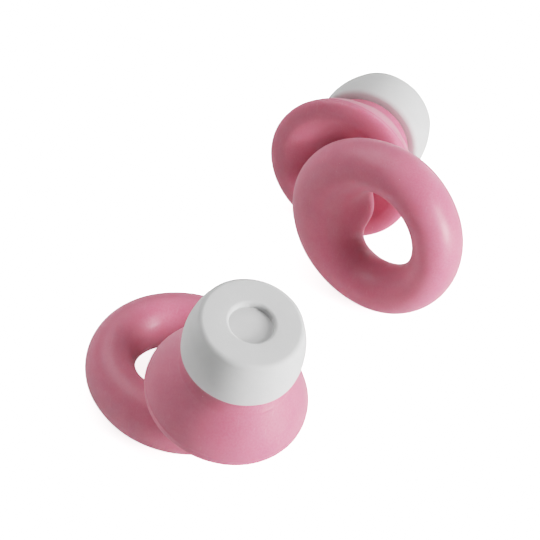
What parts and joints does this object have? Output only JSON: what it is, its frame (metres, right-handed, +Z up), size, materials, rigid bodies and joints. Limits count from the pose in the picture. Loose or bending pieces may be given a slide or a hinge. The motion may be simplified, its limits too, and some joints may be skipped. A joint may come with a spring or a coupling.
{
  "type": "foam ear plugs with pull rings",
  "caption": "Ear plugs with a soft foam cone on a silicone bell and a round silicone pull ring; one stands on its ring, the other lies on its side.",
  "frame": {"origin": "on the floor, under the middle of the pair's bounding box", "axes": "+Z up from the floor; the standing plug is towards -X and -Y, the lying plug towards +X and +Y"},
  "size_m": [0.034, 0.054, 0.0209],
  "materials": {
    "silicone": "matt moulded silicone rubber with a fine grain",
    "foam": "soft closed-skin foam, matt white",
    "sleeve_plastic": "white moulded plastic, satin",
    "stem_plastic": "rose moulded plastic, satin"
  },
  "bodies": {
    "ring_a": {"ring_body_a": "silicone", "core_stem_a": "stem_plastic"},
    "bell_a": {"bell_flange_a": "silicone"},
    "tip_a": {"foam_tip_a": "foam", "tip_sleeve_a": "sleeve_plastic"},
    "ring_b": {"ring_body_b": "silicone", "core_stem_b": "stem_plastic"},
    "bell_b": {"bell_flange_b": "silicone"},
    "tip_b": {"foam_tip_b": "foam", "tip_sleeve_b": "sleeve_plastic"}
  },
  "joints": [
    {"name": "bell_turn_a", "type": "hinge", "parent": "ring_a", "child": "bell_a", "pos_m": [-0.00247, -0.02025, 0.01459], "axis": [0.1032, -0.1502, 0.9833], "continuous": true},
    {"name": "tip_pull_a", "type": "slide", "parent": "bell_a", "child": "tip_a", "axis": [0.1032, -0.1502, 0.9833], "range_m": [0, 0.006]},
    {"name": "lying_plug_lift", "type": "slide", "parent": "ring_a", "child": "ring_b", "axis": [0, 0, 1], "range_m": [0, 0.04]},
    {"name": "bell_turn_b", "type": "hinge", "parent": "ring_b", "child": "bell_b", "pos_m": [0.00613, 0.02017, 0.00684], "axis": [0.3209, 0.9373, -0.1357], "continuous": true},
    {"name": "tip_pull_b", "type": "slide", "parent": "bell_b", "child": "tip_b", "axis": [0.3209, 0.9373, -0.1357], "range_m": [0, 0.006]}
  ]
}
